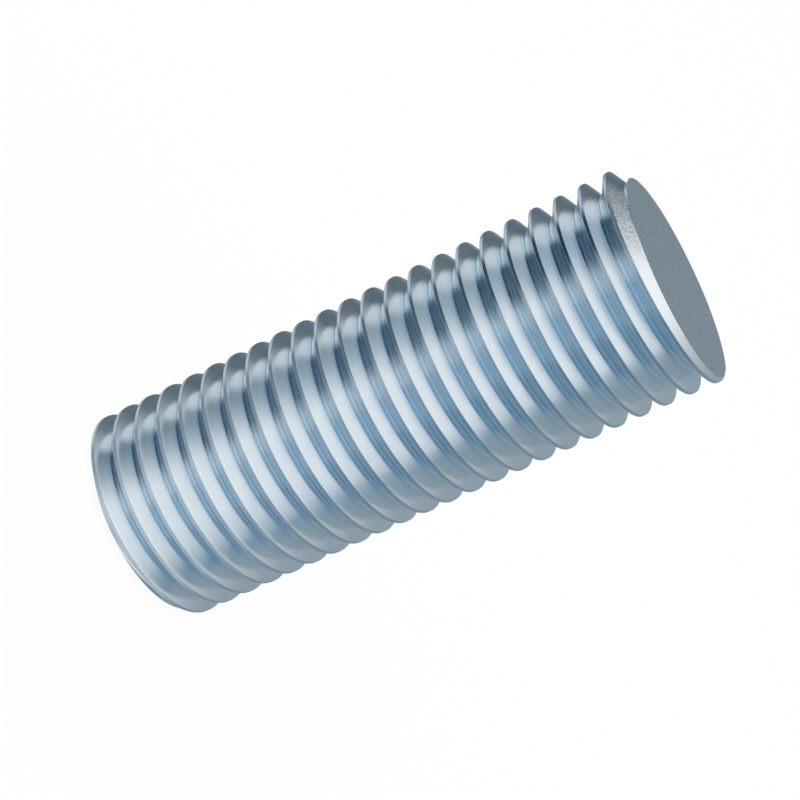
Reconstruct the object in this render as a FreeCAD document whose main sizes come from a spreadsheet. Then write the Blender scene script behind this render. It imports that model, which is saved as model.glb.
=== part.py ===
import FreeCAD, Part
import os
import Sketcher

# Threaded stud: a round steel bar with a coarse metric thread from end to end.
#
# Millimetres, +Z along the axis. The origin is the centre of the flat cut end that the
# stud stands on, and the other cut end faces up.
#
# The thread is one right-handed groove. Its section has two straight flanks, a flat root
# at the minor diameter and, between one turn and the next, a flat crest left from the
# bar. The groove runs out through both cut ends.

DRIVING_SIZES = [
    ("nominal_diameter", 30.0),
    ("stud_length", 80.0),
    ("thread_pitch", 3.5),
    # Degrees between a flank and the plane across the axis: half of the thread angle.
    ("flank_angle", 30.0),
    # Width of the crest flat as a share of the pitch.
    ("crest_share", 0.125),
    # Depth of the groove as a share of the sharp triangle that is one pitch wide.
    ("depth_share", 0.70833),
    # How far the groove's section stands out of the bar.
    ("section_overreach", 0.1),
    # Turns that the groove runs on for past each cut end.
    ("run_out_turns", 1.0),
]

FLANK_SLOPE = "tan(Sizes.flank_angle)"
DEPTH = f"Sizes.depth_share * Sizes.thread_pitch / (2 * {FLANK_SLOPE})"
HALF_MOUTH = "Sizes.thread_pitch * (1 - Sizes.crest_share) / 2"
RIM_RADIUS = "Sizes.nominal_diameter / 2 + Sizes.section_overreach"
RIM_HALF_WIDTH = f"{HALF_MOUTH} + Sizes.section_overreach * {FLANK_SLOPE}"
ROOT_RADIUS = f"Sizes.nominal_diameter / 2 - {DEPTH}"
ROOT_HALF_WIDTH = f"{HALF_MOUTH} - {DEPTH} * {FLANK_SLOPE}"
RUN_OUT = "Sizes.run_out_turns * Sizes.thread_pitch"

# Turns in one edge of a helix.
TURNS_PER_EDGE = 2
# Degrees between the bar's seam and the places where the groove's edges join.
SEAM_ANGLE = 90

# Corners of the groove's section, in order round it: name, radius and height from its middle.
GROOVE_CORNERS = [
    ("LowerRim", RIM_RADIUS, f"-({RIM_HALF_WIDTH})"),
    ("LowerRoot", ROOT_RADIUS, f"-({ROOT_HALF_WIDTH})"),
    ("UpperRoot", ROOT_RADIUS, ROOT_HALF_WIDTH),
    ("UpperRim", RIM_RADIUS, RIM_HALF_WIDTH),
]


def add_sizes(doc):
    """Put the driving sizes in a sheet, one named cell to a row."""
    sheet = doc.addObject("Spreadsheet::Sheet", "Sizes")
    for row, (alias, value) in enumerate(DRIVING_SIZES, start=1):
        sheet.set(f"A{row}", alias)
        sheet.set(f"B{row}", str(value))
        sheet.setAlias(f"B{row}", alias)


def add_bar(doc):
    """The plain round bar, cut square at both ends, with its seam clear of the groove's joins."""
    body = doc.addObject("PartDesign::Body", "Bar")
    body.Placement.Rotation = FreeCAD.Rotation(FreeCAD.Vector(0, 0, 1), SEAM_ANGLE)
    planes = {plane.Role: plane for plane in body.Origin.OriginFeatures}

    section = body.newObject("Sketcher::SketchObject", "BarSection")
    section.AttachmentSupport = [(planes["XY_Plane"], "")]
    section.MapMode = "FlatFace"
    circle = section.addGeometry(Part.Circle(), False)
    section.addConstraint(Sketcher.Constraint("Coincident", circle, 3, -1, 1))
    diameter = section.addConstraint(Sketcher.Constraint("Diameter", circle, 1.0))
    section.renameConstraint(diameter, "Diameter")
    section.setExpression("Constraints.Diameter", "Sizes.nominal_diameter")

    pad = body.newObject("PartDesign::Pad", "BarLength")
    pad.Profile = section
    pad.setExpression("Length", "Sizes.stud_length")
    return body


def add_corner_helix(doc, name, radius, height):
    """The helix that one corner of the groove's section follows, in edges of a few turns."""
    helix = doc.addObject("Part::Helix", name)
    helix.LocalCoord = "Right-handed"
    helix.SegmentLength = TURNS_PER_EDGE
    helix.setExpression("Pitch", "Sizes.thread_pitch")
    helix.setExpression("Height", f"Sizes.stud_length + 2 * {RUN_OUT}")
    helix.setExpression("Radius", radius)
    helix.setExpression("Placement.Base.z", f"{height} - {RUN_OUT}")
    return helix


def ruled_strip(edge, other_edge, radius, other_radius):
    """The face of straight lines from a helical edge to the one beside it.

    Weighting the poles by the other edge's radius spaces the parameters so that they run
    straight across a turn, where an even spacing would bow.
    """
    surface = Part.makeRuledSurface(edge, other_edge).Surface
    surface.setWeightCol(1, [other_radius / radius] * surface.NbUPoles)
    return surface.toShape()


def section_face(helices, segment, end):
    """The groove's section at one end of the given segment of the helices, as a flat face."""
    edges = [helix.Shape.Edges[segment] for helix in helices]
    corners = [edge.valueAt(edge.ParameterRange[end]) for edge in edges]
    return Part.Face(Part.makePolygon(corners + corners[:1]))


def add_groove(doc, helices):
    """The solid that the groove's section sweeps out, closed by a section at each end."""
    faces = [section_face(helices, 0, 0), section_face(helices, -1, 1)]
    for helix, other in zip(helices, helices[1:] + helices[:1]):
        for edge, other_edge in zip(helix.Shape.Edges, other.Shape.Edges):
            faces.append(ruled_strip(edge, other_edge, helix.Radius.Value, other.Radius.Value))
    shell = Part.makeShell(faces)
    shell.sewShape()

    groove = doc.addObject("Part::Feature", "ThreadGroove")
    groove.Shape = Part.makeSolid(shell)
    return groove


def add_stud(doc, bar, groove):
    """The finished stud: the bar with the groove cut out of it."""
    stud = doc.addObject("Part::Cut", "ThreadedStud")
    stud.Label = "threaded_stud"
    stud.Base = bar
    stud.Tool = groove
    return stud


def check_objects(doc):
    """Stop if a recompute left any object of the document failed."""
    for item in doc.Objects:
        if "Invalid" in item.State or "Error" in item.State:
            raise RuntimeError(f"{item.Label} is {item.State}")


def write_part(part):
    """Write one finished piece to the file that its label names."""
    shape = part.Shape
    if shape.isNull() or not shape.isValid() or len(shape.Solids) != 1:
        raise RuntimeError(f"{part.Label} isn't one valid solid")
    shape.exportStep(os.path.join("parts", f"{part.Label}.step"))
    print(f"{part.Label}: {shape.Volume / 1000:.2f} cm3, {len(shape.Faces)} faces")


def main():
    doc = FreeCAD.newDocument("ThreadedStud")
    add_sizes(doc)
    doc.recompute()
    bar = add_bar(doc)
    helices = [add_corner_helix(doc, *corner) for corner in GROOVE_CORNERS]
    doc.recompute()
    check_objects(doc)

    stud = add_stud(doc, bar, add_groove(doc, helices))
    doc.recompute()
    check_objects(doc)

    os.makedirs("parts", exist_ok=True)
    write_part(stud)


main()
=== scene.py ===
"""Threaded stud: a zinc-plated steel bar, threaded from end to end and cut square at both ends.

Metres, in the stud's own frame: +Z along its axis, with the cut end that it stands on at the origin.
"""

from __future__ import annotations

import logging
import math
from dataclasses import dataclass, field
from enum import Enum

import bmesh
import bpy
from mathutils import Matrix, Quaternion, Vector

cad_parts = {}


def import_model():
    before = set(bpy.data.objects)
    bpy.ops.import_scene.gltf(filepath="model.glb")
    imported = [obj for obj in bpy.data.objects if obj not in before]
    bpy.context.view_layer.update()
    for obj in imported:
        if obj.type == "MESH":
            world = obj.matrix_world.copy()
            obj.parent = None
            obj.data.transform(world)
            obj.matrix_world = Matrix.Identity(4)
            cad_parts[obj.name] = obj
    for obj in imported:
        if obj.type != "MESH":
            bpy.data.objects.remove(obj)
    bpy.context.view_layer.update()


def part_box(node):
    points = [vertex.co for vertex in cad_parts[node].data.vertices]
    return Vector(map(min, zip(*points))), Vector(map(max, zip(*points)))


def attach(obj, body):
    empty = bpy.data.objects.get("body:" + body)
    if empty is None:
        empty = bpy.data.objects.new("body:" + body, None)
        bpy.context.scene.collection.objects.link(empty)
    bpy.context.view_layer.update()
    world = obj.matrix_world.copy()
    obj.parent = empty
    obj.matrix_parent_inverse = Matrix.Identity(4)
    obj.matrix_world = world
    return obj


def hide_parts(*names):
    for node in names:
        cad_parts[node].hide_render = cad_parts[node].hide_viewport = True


LOG = logging.getLogger("threaded_stud")

MM = 0.001
MERGE_DISTANCE = 1e-7
STUD_NODE = "threaded_stud"
WHITE = (1.0, 1.0, 1.0)
LEVEL = (1.0, 1.0, 0.0)
NOISE_SPAN = (0.25, 0.75)
FINE_LAYERS = 3.0
NORMAL_WEIGHT = 100
QUARTER_TURN = 90.0
HALF_TURN = 180.0

Colour = tuple[float, float, float]


class Skin(Enum):
    """The kinds of surface on the stud, in the order of its material slots."""

    THREAD = 0
    CUT_END = 1


class Seen(Enum):
    """The rays that a piece of the studio shows itself to."""

    BY_CAMERA = ("visible_camera", "visible_diffuse", "visible_shadow", "visible_transmission")
    BY_REFLECTION = ("visible_glossy",)


def link_object(name: str, mesh: bmesh.types.BMesh) -> bpy.types.Object:
    """Put a finished mesh into the scene as an object of its own.

    Args:
        name: The object's name.
        mesh: The mesh, which is freed.

    Returns:
        The object, at the origin.
    """
    data = bpy.data.meshes.new(name)
    mesh.to_mesh(data)
    mesh.free()
    made = bpy.data.objects.new(name, data)
    bpy.context.scene.collection.objects.link(made)
    return made


def show_only(piece: bpy.types.Object, seen: Seen) -> None:
    """Show a piece of the studio to one kind of ray and hide it from the others.

    Args:
        piece: The piece.
        seen: What it is shown to.
    """
    for option in Seen:
        for switch in option.value:
            setattr(piece, switch, option is seen)


class NodeSketch:
    """A material's or world's node tree, with short ways to add and join its nodes."""

    def __init__(self, owner: bpy.types.Material | bpy.types.World) -> None:
        """Empty the owner's node tree.

        Args:
            owner: The material or world that is drawn.
        """
        owner.use_nodes = True
        self.tree = owner.node_tree
        self.tree.nodes.clear()

    def add(self, kind: str, inputs: dict | None = None, **settings: object) -> bpy.types.Node:
        """Add a node.

        Args:
            kind: The node's type.
            inputs: Values or sockets for its inputs, by name or number.
            settings: The node's own settings.

        Returns:
            The node.
        """
        node = self.tree.nodes.new(kind)
        for name, value in settings.items():
            setattr(node, name, value)
        for key, value in (inputs or {}).items():
            if isinstance(value, bpy.types.NodeSocket):
                self.tree.links.new(value, node.inputs[key])
            else:
                node.inputs[key].default_value = value
        return node

    def math(self, operation: str, *values: object, clamp: bool = False) -> bpy.types.NodeSocket:
        """Join values by a Math node and return its result."""
        node = self.add("ShaderNodeMath", dict(enumerate(values)), operation=operation, use_clamp=clamp)
        return node.outputs[0]

    def vector(self, operation: str, *values: object) -> bpy.types.Node:
        """Join vectors by a Vector Math node and return the node."""
        return self.add("ShaderNodeVectorMath", dict(enumerate(values)), operation=operation)

    def fade(self, value: object, start: float, end: float, low: float = 0.0, high: float = 1.0) -> object:
        """Map a value smoothly from one range to another.

        Args:
            value: The socket that is read.
            start: Where the fade starts.
            end: Where it ends.
            low: The result at the start.
            high: The result at the end.

        Returns:
            The socket of the result.
        """
        inputs = {"Value": value, "From Min": start, "From Max": end, "To Min": low, "To Max": high}
        return self.add("ShaderNodeMapRange", inputs, interpolation_type="SMOOTHSTEP").outputs[0]

    def fade_straight(self, value: object, low: float, high: float) -> object:
        """Map a value from 0 to 1 evenly onto another range and return the result."""
        return self.add("ShaderNodeMapRange", {"Value": value, "To Min": low, "To Max": high}).outputs[0]

    def band(self, value: object, low: float, high: float, edge: float) -> object:
        """Mark where a value lies between two limits.

        Args:
            value: The socket that is read.
            low: The lower limit.
            high: The upper limit.
            edge: Distance over which the mark fades, on each side of a limit.

        Returns:
            The socket of the mark: 1 between the limits and 0 outside.
        """
        above = self.fade(value, low - edge, low + edge)
        below = self.fade(value, high + edge, high - edge)
        return self.math("MULTIPLY", above, below)

    def mix(self, factor: object, low: object, high: object) -> bpy.types.NodeSocket:
        """Mix two colours.

        Args:
            factor: Share of the second colour.
            low: The first colour.
            high: The second colour.

        Returns:
            The socket of the result.
        """
        node = self.add("ShaderNodeMix", data_type="RGBA")
        sockets = {"Factor": factor, "A": low, "B": high}
        for socket in node.inputs:
            if socket.enabled and socket.name in sockets:
                value = sockets[socket.name]
                if isinstance(value, bpy.types.NodeSocket):
                    self.tree.links.new(value, socket)
                else:
                    socket.default_value = (*value, 1.0) if isinstance(value, tuple) else value
        return next(socket for socket in node.outputs if socket.enabled)

    def noise(self, place: object, grain: float, detail: float = 2.0, roughness: float = 0.5) -> object:
        """Draw a noise whose grains have a real size.

        Args:
            place: The coordinates, in metres.
            grain: Size of a grain, in metres.
            detail: Number of finer layers.
            roughness: Strength of the finer layers.

        Returns:
            The socket of the noise, about 0.5.
        """
        inputs = {"Vector": place, "Scale": 1.0 / grain, "Detail": detail, "Roughness": roughness}
        return self.add("ShaderNodeTexNoise", inputs).outputs[0]

    def object_place(self) -> bpy.types.NodeSocket:
        """Return the place on the piece in its own coordinates, in metres."""
        return self.add("ShaderNodeTexCoord").outputs["Object"]


@dataclass(frozen=True)
class ZincPlate:
    """Bright zinc over rolled steel, with the faint blue of a thin clear passivation.

    Attributes:
        colour: Colour of the plate on the flanks.
        hollow_tint_and_shade: Colour in the roots, darker and bluer: partly the thicker passivation's own
            tint, partly painted shade and a painted reflection of the dark blue that the roots show.
        hollow_shade_band: Height of the band over the roots that carries this tint and painted shade.
        hollow_shade_band: Height of the bluer band over the roots.
        crest_shade_colour: Painted shade on the crests: a darker, bluer colour for their darker look.
        crest_shade_band: Height of the crests' band of painted shade.
        crest_shade_band: Height of the crests' duller band.
        roughness: Roughness of the plate.
        roughness_spread: How far the roughness wanders from place to place.
        cloud_size: Size of the faint clouds in the plate.
        cloud_shade: Brightness of the clouds' darker parts.
        streak_size: Width of the fine lines that rolling leaves along the thread.
        streak_length: Length over which such a line changes.
        streak_depth: Depth of these lines.
        streak_layers: Number of finer layers in them.
        grit_place: Middle of the patch by the top rim that the saw left sandy.
        grit_reach: Distance from there at which the sandy grain has faded out.
        grit_core: Share of that distance over which the grain is full.
        grit_floor: Height above which it lies, so that it keeps to the last flank.
        grit_size: Size of its grains.
        grit_depth: Depth of its grains.
        grit_shade: How much darker its hollows are.
        grit_hollow: Noise levels at which a hollow starts and is darkest.
        grit_harshness: Strength of the grain's finer layers.
        root: Radius at which the hollows' tint and painted shade are strongest.
        crest: Radius of the crests, where the painted crest shade is full.
    """

    root: float
    crest: float
    colour: Colour = (0.88, 0.925, 0.955)
    # The root colour is partly the passivation's tint and partly painted shade and reflection of the
    # roots.
    hollow_tint_and_shade: Colour = (0.75, 0.86, 0.945)
    hollow_shade_band: float = 0.9 * MM
    # The crest colour is painted shade that darkens the crests.
    crest_shade_colour: Colour = (0.58, 0.67, 0.73)
    crest_shade_band: float = 0.12 * MM
    roughness: float = 0.2
    roughness_spread: float = 0.04
    cloud_size: float = 4.0 * MM
    cloud_shade: float = 0.97
    streak_size: float = 0.13 * MM
    streak_length: float = 9.0 * MM
    streak_depth: float = 0.0003 * MM
    streak_layers: float = 1.0
    grit_place: tuple[float, float, float] = (9.5 * MM, -11.2 * MM, 79.0 * MM)
    grit_reach: float = 8.0 * MM
    grit_core: float = 1.0 / 3.0
    grit_floor: float = 77.9 * MM
    grit_size: float = 0.34 * MM
    grit_depth: float = 0.13 * MM
    grit_shade: float = 0.3
    grit_hollow: tuple[float, float] = (0.56, 0.42)
    grit_harshness: float = 0.7

    def dress(self, material: bpy.types.Material) -> None:
        """Draw the finish in a material.

        Args:
            material: The material that is drawn.
        """
        sketch = NodeSketch(material)
        place = sketch.object_place()
        across = sketch.vector("MULTIPLY", place, LEVEL)
        radius = sketch.vector("LENGTH", across.outputs[0]).outputs["Value"]
        # Painted shade in the roots: darker and bluer there, partly the passivation's own tint and partly
        # a painted reflection of the dark blue that the roots show.
        hollow_shade = sketch.fade(radius, self.root + self.hollow_shade_band, self.root)
        tint_and_shade = sketch.mix(hollow_shade, self.colour, self.hollow_tint_and_shade)
        # Painted shade on the crests: they are painted darker and bluer for their darker look.
        crest_shade = sketch.fade(radius, self.crest - self.crest_shade_band, self.crest)
        tint_and_shade = sketch.mix(crest_shade, tint_and_shade, self.crest_shade_colour)
        cloud = sketch.noise(place, self.cloud_size)
        shade = sketch.fade(cloud, *NOISE_SPAN, self.cloud_shade, 1.0)
        distance = sketch.vector("DISTANCE", place, self.grit_place).outputs["Value"]
        sandy = sketch.fade(distance, self.grit_reach, self.grit_reach * self.grit_core)
        height = sketch.add("ShaderNodeSeparateXYZ", {"Vector": place}).outputs["Z"]
        on_flank = sketch.fade(height, self.grit_floor, self.grit_floor + self.grit_size)
        sandy = sketch.math("MULTIPLY", sandy, on_flank)
        grains = sketch.noise(place, self.grit_size, FINE_LAYERS, self.grit_harshness)
        hollows = sketch.fade(grains, *self.grit_hollow, 0.0, self.grit_shade)
        grey = sketch.math("MULTIPLY", sandy, hollows)
        shade = sketch.math("MULTIPLY", shade, sketch.math("SUBTRACT", 1.0, grey))
        colour = sketch.vector("SCALE", tint_and_shade)
        sketch.tree.links.new(shade, colour.inputs["Scale"])
        spread = self.roughness_spread
        roughness = sketch.fade(cloud, *NOISE_SPAN, self.roughness - spread, self.roughness + spread)
        slow = sketch.vector("SCALE", place)
        slow.inputs["Scale"].default_value = self.streak_size / self.streak_length
        lines = sketch.add("ShaderNodeCombineXYZ", {2: radius})
        streak_place = sketch.vector("ADD", slow.outputs[0], lines.outputs[0]).outputs[0]
        streaks = sketch.noise(streak_place, self.streak_size, self.streak_layers)
        lined = sketch.add("ShaderNodeBump", {"Height": streaks, "Distance": self.streak_depth})
        grit = {
            "Height": grains,
            "Strength": sandy,
            "Distance": self.grit_depth,
            "Normal": lined.outputs[0],
        }
        bump = sketch.add("ShaderNodeBump", grit)
        shader = sketch.add(
            "ShaderNodeBsdfPrincipled",
            {
                "Base Color": colour.outputs[0],
                "Metallic": 1.0,
                "Roughness": roughness,
                "Normal": bump.outputs[0],
            },
        )
        sketch.add("ShaderNodeOutputMaterial", {"Surface": shader.outputs[0]})


@dataclass(frozen=True)
class CutSteel:
    """A sawn and plated end, matt, with a fine even grain.

    Attributes:
        colour: Colour of the plate on the cut.
        roughness: Roughness of the cut.
        grain_size: Size of the grains.
        grain_depth: Depth of the grains.
        grain_harshness: Strength of the grains' finer layers.
        grain_span: Noise levels of the darkest and of the brightest grains.
        grain_shade: Brightness of these grains.
    """

    colour: Colour = (0.56, 0.62, 0.665)
    roughness: float = 0.38
    grain_size: float = 0.28 * MM
    grain_depth: float = 0.04 * MM
    grain_harshness: float = 0.75
    grain_span: tuple[float, float] = (0.4, 0.62)
    grain_shade: tuple[float, float] = (0.72, 1.08)

    def dress(self, material: bpy.types.Material) -> None:
        """Draw the finish in a material.

        Args:
            material: The material that is drawn.
        """
        sketch = NodeSketch(material)
        place = sketch.object_place()
        grain = sketch.noise(place, self.grain_size, FINE_LAYERS, self.grain_harshness)
        shade = sketch.fade(grain, *self.grain_span, *self.grain_shade)
        colour = sketch.vector("SCALE", self.colour)
        sketch.tree.links.new(shade, colour.inputs["Scale"])
        bump = sketch.add("ShaderNodeBump", {"Height": grain, "Distance": self.grain_depth})
        shader = sketch.add(
            "ShaderNodeBsdfPrincipled",
            {
                "Base Color": colour.outputs[0],
                "Metallic": 1.0,
                "Roughness": self.roughness,
                "Normal": bump.outputs[0],
            },
        )
        sketch.add("ShaderNodeOutputMaterial", {"Surface": shader.outputs[0]})


@dataclass(frozen=True)
class ThreadForm:
    """The metric thread's section in the plane of the axis, with the corners that rolling leaves.

    Attributes:
        pitch: Distance from one crest to the next, along the axis.
        flank_angle: Degrees between a flank and the plane across the axis.
        crest_share: Width of the crest flat as a share of the pitch.
        crest_radius: Rounding of the crest's two corners.
        root_radius: Rounding of the root, tangent to both flanks.
        crest_steps: Facets round one crest corner.
        root_steps: Facets round the root.
        turn_steps: Facets round one turn of the helix.
        crest_break: Least turn, in degrees, that marks the edge of a crest's flat.
        lead_in: Pitches that are wound below the foot, and cut away.
        spare_turns: Turns that are wound beyond the stud's length, and cut away.
    """

    pitch: float = 3.5 * MM
    flank_angle: float = 30.0
    crest_share: float = 0.125
    crest_radius: float = 0.04 * MM
    root_radius: float = 0.43 * MM
    crest_steps: int = 2
    root_steps: int = 10
    turn_steps: int = 96
    crest_break: float = 8.0
    lead_in: float = 1.5
    spare_turns: int = 2

    @property
    def sharp_depth(self) -> float:
        """Depth below the crest at which the two flanks of a groove would meet."""
        return self.pitch * (1.0 - self.crest_share) / 2.0 / math.tan(math.radians(self.flank_angle))

    @property
    def depth(self) -> float:
        """Depth of the rounded root below the crest."""
        lift = self.root_radius / math.sin(math.radians(self.flank_angle)) - self.root_radius
        return self.sharp_depth - lift

    @staticmethod
    def corner_offset(radius: float, half_angle: float) -> float:
        """Find how far from a corner its rounding starts.

        Args:
            radius: The rounding's radius.
            half_angle: Half of the angle between the corner's sides, in degrees.

        Returns:
            The distance along each side.
        """
        return radius / math.tan(math.radians(half_angle))

    def section(self, crest: float) -> bmesh.types.BMesh:
        """Draw one pitch of the thread's section as a line of edges.

        Args:
            crest: Radius of the crests.

        Returns:
            A mesh of edges in the XZ plane, from the middle of one crest to the middle of the next.
        """
        half_flat = self.pitch * self.crest_share / 2.0
        half_pitch = self.pitch / 2.0
        sharp_root = crest - self.sharp_depth
        mesh = bmesh.new()
        corners = [
            mesh.verts.new((crest, 0.0, 0.0)),
            mesh.verts.new((crest, 0.0, half_flat)),
            mesh.verts.new((sharp_root, 0.0, half_pitch)),
            mesh.verts.new((crest, 0.0, self.pitch - half_flat)),
            mesh.verts.new((crest, 0.0, self.pitch)),
        ]
        for start, end in zip(corners, corners[1:]):
            mesh.edges.new((start, end))
        root_offset = self.corner_offset(self.root_radius, self.flank_angle)
        self.round_corners(mesh, [corners[2]], root_offset, self.root_steps)
        crest_offset = self.corner_offset(self.crest_radius, (QUARTER_TURN + self.flank_angle) / 2.0)
        self.round_corners(mesh, [corners[1], corners[3]], crest_offset, self.crest_steps)
        return mesh

    @staticmethod
    def round_corners(mesh: bmesh.types.BMesh, corners: list, offset: float, steps: int) -> None:
        """Round corners of a line of edges.

        Args:
            mesh: The mesh that holds the line.
            corners: The corner vertices.
            offset: Distance from each corner to where its rounding starts.
            steps: Facets in each rounding.
        """
        bmesh.ops.bevel(
            mesh,
            geom=corners,
            affect="VERTICES",
            offset=offset,
            offset_type="OFFSET",
            segments=steps,
            profile=0.5,
            material=-1,
        )


@dataclass
class ThreadedStud:
    """The stud: one bar with its thread, cut square at both ends.

    Attributes:
        crest: Radius of the crests, half of the nominal diameter.
        length: Length between the cut ends.
        form: The thread's section.
    """

    crest: float
    length: float
    form: ThreadForm = field(default_factory=ThreadForm)

    @classmethod
    def from_frame(cls) -> ThreadedStud:
        """Take the stud's diameter and length from its place in the frame."""
        low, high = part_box(STUD_NODE)
        return cls(crest=(high[0] - low[0]) / 2.0, length=high[2] - low[2])

    def build(self) -> bpy.types.Object:
        """Build and dress the stud.

        Returns:
            The stud's object, riding on the one body in place of the plain solid.
        """
        mesh = self.wind_thread()
        self.cut_ends(mesh)
        stud = link_object("stud", mesh)
        self.dress(stud)
        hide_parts(STUD_NODE)
        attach(stud, "root")
        return stud

    def dress(self, stud: bpy.types.Object) -> None:
        """Give the thread and the cut ends their finishes, and shade the flanks evenly.

        Args:
            stud: The stud's object.
        """
        finishes = {
            Skin.THREAD: ZincPlate(root=self.crest - self.form.depth, crest=self.crest),
            Skin.CUT_END: CutSteel(),
        }
        for skin in Skin:
            material = bpy.data.materials.new(skin.name.lower())
            finishes[skin].dress(material)
            stud.data.materials.append(material)
        shading = stud.modifiers.new("flank_shading", "WEIGHTED_NORMAL")
        shading.mode = "FACE_AREA"
        shading.weight = NORMAL_WEIGHT
        shading.keep_sharp = True

    def wind_thread(self) -> bmesh.types.BMesh:
        """Wind one turn of the thread, and stack its copies from below one end to above the other.

        Returns:
            The thread's skin, open at both ends.
        """
        form = self.form
        mesh = form.section(self.crest)
        # At the frame's +X side the groove's middle lies a whole number of pitches from the foot.
        bmesh.ops.translate(mesh, vec=(0.0, 0.0, -form.lead_in * form.pitch), verts=mesh.verts[:])
        bmesh.ops.spin(
            mesh,
            geom=mesh.verts[:] + mesh.edges[:],
            cent=(0.0, 0.0, 0.0),
            axis=(0.0, 0.0, 1.0),
            dvec=(0.0, 0.0, form.pitch / form.turn_steps),
            angle=math.tau,
            steps=form.turn_steps,
            use_merge=False,
        )
        turn = mesh.verts[:] + mesh.edges[:] + mesh.faces[:]
        for number in range(1, math.ceil(self.length / form.pitch) + form.spare_turns):
            copy = bmesh.ops.duplicate(mesh, geom=turn)["geom"]
            joined = [item for item in copy if isinstance(item, bmesh.types.BMVert)]
            bmesh.ops.translate(mesh, vec=(0.0, 0.0, number * form.pitch), verts=joined)
        bmesh.ops.remove_doubles(mesh, verts=mesh.verts[:], dist=MERGE_DISTANCE)
        return mesh

    def cut_ends(self, mesh: bmesh.types.BMesh) -> None:
        """Cut both ends square and close them.

        Args:
            mesh: The wound thread, open at both ends.
        """
        for height, outwards in ((0.0, -1.0), (self.length, 1.0)):
            cut = bmesh.ops.bisect_plane(
                mesh,
                geom=mesh.verts[:] + mesh.edges[:] + mesh.faces[:],
                dist=MERGE_DISTANCE,
                plane_co=(0.0, 0.0, height),
                plane_no=(0.0, 0.0, outwards),
                clear_outer=True,
            )
            rim = [item for item in cut["geom_cut"] if isinstance(item, bmesh.types.BMEdge)]
            bmesh.ops.edgeloop_fill(mesh, edges=rim, mat_nr=Skin.CUT_END.value)
        bmesh.ops.recalc_face_normals(mesh, faces=mesh.faces[:])
        for face in mesh.faces:
            face.smooth = True
        for edge in mesh.edges:
            if len({face.material_index for face in edge.link_faces}) > 1:
                edge.smooth = False
            elif self.is_crest_edge(edge):
                edge.smooth = False

    def is_crest_edge(self, edge: bmesh.types.BMEdge) -> bool:
        """Tell whether an edge is where a crest's flat ends and the rounding of its corner starts."""
        on_crest = all(end.co.xy.length > self.crest - MERGE_DISTANCE for end in edge.verts)
        return on_crest and edge.calc_face_angle(0.0) > math.radians(self.form.crest_break)


@dataclass(frozen=True)
class PhotoView:
    """The photograph's camera.

    Attributes:
        aim: The point that it looks at.
        distance: Distance from that point.
        azimuth: Degrees round the stud, from the -Y side towards +X.
        elevation: Degrees above the stud's foot plane.
        roll: Degrees that the stud's axis leans to the right in the picture.
        lens: Focal length in millimetres, on a sensor of the given width.
        sensor: Width of the sensor in millimetres.
    """

    aim: Vector
    distance: float = 283.16 * MM
    azimuth: float = 82.9
    elevation: float = 17.9
    roll: float = 64.960
    lens: float = 96.55
    sensor: float = 36.0

    def build(self) -> bpy.types.Object:
        """Place the camera and make it the scene's own.

        Returns:
            The camera.
        """
        turn = math.radians(self.azimuth)
        lift = math.radians(self.elevation)
        back = Vector(
            (math.sin(turn) * math.cos(lift), -math.cos(turn) * math.cos(lift), math.sin(lift))
        )
        data = bpy.data.cameras.new("photo_view")
        data.lens = self.lens
        data.sensor_width = self.sensor
        camera = bpy.data.objects.new("photo_view", data)
        upright = (-back).to_track_quat("-Z", "Y")
        leaning = upright @ Quaternion((0.0, 0.0, 1.0), math.radians(self.roll))
        camera.matrix_world = Matrix.LocRotScale(self.aim + back * self.distance, leaning, None)
        bpy.context.scene.collection.objects.link(camera)
        bpy.context.scene.camera = camera
        return camera


def towards(azimuth: float, elevation: float) -> Vector:
    """Turn two angles into a direction.

    Args:
        azimuth: Degrees round the stud from the side that faces the camera, seen from above.
        elevation: Degrees above the level.

    Returns:
        The direction, with the camera's side as +X.
    """
    turn, lift = math.radians(azimuth), math.radians(elevation)
    return Vector((math.cos(turn) * math.cos(lift), math.sin(turn) * math.cos(lift), math.sin(lift)))


@dataclass(frozen=True)
class Patch:
    """A part of the surround between two azimuths and two elevations, with soft sides.

    Attributes:
        left: Azimuth of its first side, in degrees from the camera's side of the stud.
        right: Azimuth of its other side.
        foot: Elevation of its lower side, in degrees.
        top: Elevation of its upper side.
        side_fade: Degrees over which its left and right sides fade, either way.
        level_fade: Degrees over which its foot and top fade, either way.
    """

    left: float
    right: float
    foot: float
    top: float
    side_fade: float
    level_fade: float

    def mask(self, sketch: NodeSketch, azimuth: object, elevation: object) -> bpy.types.NodeSocket:
        """Mark where the patch is.

        Args:
            sketch: The node tree that it is drawn in.
            azimuth: The socket of the azimuth, in degrees.
            elevation: The socket of the elevation, in degrees.

        Returns:
            The socket of the mark.
        """
        across = sketch.band(azimuth, self.left, self.right, self.side_fade)
        upright = sketch.band(elevation, self.foot, self.top, self.level_fade)
        return sketch.math("MULTIPLY", across, upright)


@dataclass(frozen=True)
class Card(Patch):
    """A card that hangs before the studio's wall.

    Attributes:
        colour: Its colour.
    """

    colour: Colour


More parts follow.
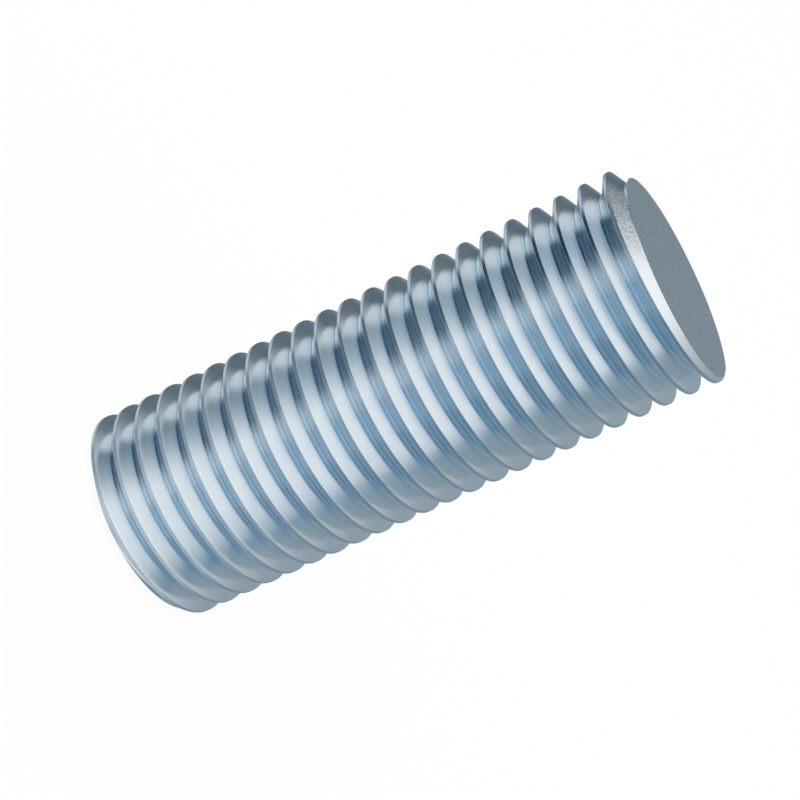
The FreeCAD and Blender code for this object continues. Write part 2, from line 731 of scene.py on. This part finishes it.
@dataclass(frozen=True)
class Surround:
    """The grey wall and cards round the stud, which only its reflections show.

    Attributes:
        centre: Height of the wall's middle.
        facing: Degrees round the stud of the side that faces the camera.
        radius: Distance of the wall.
        segments: Facets round the wall.
        rings: Facets from its foot to its top.
        wall: The wall's colour.
        cards: The cards, each in front of those before it.
        openings: Where the white background shows, above and below.
    """

    centre: float
    facing: float
    radius: float = 1.0
    segments: int = 64
    rings: int = 32
    wall: Colour = (0.29, 0.355, 0.405)
    cards: tuple[Card, ...] = (
        Card(-220.0, 220.0, 36.0, 120.0, 1.0, 12.0, (0.47, 0.52, 0.55)),
        Card(-220.0, -48.0, -120.0, -28.0, 10.0, 10.0, (0.48, 0.58, 0.67)),
        Card(-142.0, -103.0, -45.0, 6.0, 10.0, 10.0, (0.70, 0.74, 0.77)),
        Card(-172.0, -142.0, -4.0, 30.0, 8.0, 8.0, (0.11, 0.15, 0.175)),
        Card(-102.0, -48.0, -18.0, 21.0, 7.0, 7.0, (0.0, 0.04, 0.085)),
        Card(-38.0, -12.0, -60.0, 38.0, 6.0, 6.0, (0.53, 0.60, 0.65)),
        Card(-12.0, 32.0, -30.0, 20.0, 6.0, 5.0, (0.29, 0.43, 0.54)),
        Card(32.0, 92.0, -30.0, 24.0, 8.0, 5.0, (0.17, 0.29, 0.38)),
    )
    openings: tuple[Patch, ...] = (
        Patch(-220.0, 220.0, 60.0, 120.0, 1.0, 14.0),
        Patch(-56.0, 96.0, -80.0, -26.5, 25.0, 4.5),
    )

    def build(self) -> bpy.types.Object:
        """Build the wall as a sphere round the stud.

        Returns:
            The wall's object.
        """
        mesh = bmesh.new()
        bmesh.ops.create_uvsphere(
            mesh, u_segments=self.segments, v_segments=self.rings, radius=self.radius
        )
        bmesh.ops.translate(mesh, vec=(0.0, 0.0, self.centre), verts=mesh.verts[:])
        wall = link_object("surround", mesh)
        wall.data.materials.append(self.paint())
        show_only(wall, Seen.BY_REFLECTION)
        return wall

    def paint(self) -> bpy.types.Material:
        """Paint the wall: its cards by azimuth and elevation, and its two openings.

        Returns:
            The wall's material.
        """
        material = bpy.data.materials.new("surround")
        sketch = NodeSketch(material)
        turned = sketch.add(
            "ShaderNodeMapping",
            {
                "Vector": sketch.object_place(),
                "Location": (0.0, 0.0, -self.centre),
                "Rotation": (0.0, 0.0, math.radians(QUARTER_TURN - self.facing)),
            },
        ).outputs[0]
        around = sketch.add("ShaderNodeTexGradient", {"Vector": turned}, gradient_type="RADIAL")
        azimuth = sketch.fade_straight(around.outputs["Fac"], -HALF_TURN, HALF_TURN)
        outwards = sketch.vector("NORMALIZE", turned).outputs[0]
        lift = sketch.add("ShaderNodeSeparateXYZ", {"Vector": outwards}).outputs["Z"]
        elevation = sketch.math("DEGREES", sketch.math("ARCSINE", lift))
        colour = self.wall
        for card in self.cards:
            colour = sketch.mix(card.mask(sketch, azimuth, elevation), colour, card.colour)
        clear = 0.0
        for opening in self.openings:
            clear = sketch.math("MAXIMUM", clear, opening.mask(sketch, azimuth, elevation))
        wall = sketch.add("ShaderNodeEmission", {"Color": colour})
        hole = sketch.add("ShaderNodeBsdfTransparent")
        shader = sketch.add("ShaderNodeMixShader", {0: clear, 1: wall.outputs[0], 2: hole.outputs[0]})
        sketch.add("ShaderNodeOutputMaterial", {"Surface": shader.outputs[0]})
        material.cycles.emission_sampling = "NONE"
        return material


@dataclass(frozen=True)
class Floor:
    """The pale floor that the stud stands on.

    Attributes:
        size: Length of its sides.
        drop: Distance below the stud's foot that keeps the two apart.
        colour: The floor's own colour.
        glow: Share of plain white that the camera sees on it, so that its shadows stay faint.
    """

    size: float = 3.0
    drop: float = 0.02 * MM
    colour: Colour = (0.9, 0.9, 0.9)
    glow: float = 0.93

    def build(self) -> bpy.types.Object:
        """Build and paint the floor.

        Returns:
            The floor's object.
        """
        mesh = bmesh.new()
        bmesh.ops.create_grid(mesh, x_segments=1, y_segments=1, size=self.size / 2.0)
        bmesh.ops.translate(mesh, vec=(0.0, 0.0, -self.drop), verts=mesh.verts[:])
        floor = link_object("floor", mesh)
        material = bpy.data.materials.new("floor")
        sketch = NodeSketch(material)
        paint = sketch.add("ShaderNodeBsdfDiffuse", {"Color": (*self.colour, 1.0)})
        white = sketch.add("ShaderNodeEmission", {"Color": (*WHITE, 1.0)})
        rays = sketch.add("ShaderNodeLightPath")
        share = sketch.math("MULTIPLY", rays.outputs["Is Camera Ray"], self.glow)
        shader = sketch.add("ShaderNodeMixShader", {0: share, 1: paint.outputs[0], 2: white.outputs[0]})
        sketch.add("ShaderNodeOutputMaterial", {"Surface": shader.outputs[0]})
        material.cycles.emission_sampling = "NONE"
        floor.data.materials.append(material)
        show_only(floor, Seen.BY_CAMERA)
        return floor


@dataclass(frozen=True)
class Softbox:
    """A round soft lamp over the stud, turned to its middle.

    Attributes:
        aim: The stud's middle.
        facing: Degrees round the stud of the side that faces the camera.
        azimuth: Degrees round the stud from that side to the lamp.
        elevation: Degrees from the level up to the lamp.
        distance: Distance of the lamp.
        size: Its diameter.
        energy: Its power in watts.
    """

    aim: Vector
    facing: float
    azimuth: float = -21.0
    elevation: float = 77.0
    distance: float = 0.95
    size: float = 0.6
    energy: float = 0.4

    def build(self) -> bpy.types.Object:
        """Hang the lamp and turn it to its aim.

        Returns:
            The lamp.
        """
        round_stud = Matrix.Rotation(math.radians(self.facing - QUARTER_TURN), 3, "Z")
        place = self.aim + round_stud @ towards(self.azimuth, self.elevation) * self.distance
        data = bpy.data.lights.new("top_softbox", "AREA")
        data.shape = "DISK"
        data.size = self.size
        data.energy = self.energy
        lamp = bpy.data.objects.new("top_softbox", data)
        turn = (self.aim - place).to_track_quat("-Z", "Y")
        lamp.matrix_world = Matrix.LocRotScale(place, turn, None)
        bpy.context.scene.collection.objects.link(lamp)
        return lamp


@dataclass(frozen=True)
class Studio:
    """The plain pale studio: white world, pale floor, grey surround and one soft lamp.

    Attributes:
        middle: The stud's middle.
        facing: Degrees round the stud of the side that faces the camera.
        ambient: Strength of the world's light on the floor.
    """

    middle: Vector
    facing: float
    ambient: float = 1.0

    def build(self) -> None:
        """Build the world, the floor, the surround and the lamp."""
        self.light_world()
        Floor().build()
        Surround(centre=self.middle.z, facing=self.facing).build()
        Softbox(aim=self.middle, facing=self.facing).build()
        bpy.context.scene.view_settings.view_transform = "Standard"

    def light_world(self) -> None:
        """Make the world white to the camera and to reflections, apart from its light on the floor."""
        world = bpy.data.worlds.new("studio")
        sketch = NodeSketch(world)
        rays = sketch.add("ShaderNodeLightPath")
        seen = sketch.math("MAXIMUM", rays.outputs["Is Camera Ray"], rays.outputs["Is Glossy Ray"])
        seen = sketch.math("MAXIMUM", seen, rays.outputs["Is Transmission Ray"])
        strength = sketch.fade(seen, 0.0, 1.0, self.ambient, 1.0)
        shader = sketch.add("ShaderNodeBackground", {"Color": (*WHITE, 1.0), "Strength": strength})
        sketch.add("ShaderNodeOutputWorld", {"Surface": shader.outputs[0]})
        bpy.context.scene.world = world


def main() -> None:
    """Build the stud, the camera and the studio, and report each."""
    logging.basicConfig(level=logging.INFO, format="%(message)s")
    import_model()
    stud = ThreadedStud.from_frame()
    piece = stud.build()
    LOG.info("%s: %d faces", piece.name, len(piece.data.polygons))
    middle = Vector((0.0, 0.0, stud.length / 2.0))
    view = PhotoView(aim=middle)
    camera = view.build()
    LOG.info("%s: lens %.1f mm", camera.name, camera.data.lens)
    studio = Studio(middle=middle, facing=view.azimuth)
    studio.build()
    LOG.info("studio: built")


if __name__ == "__main__":
    main()
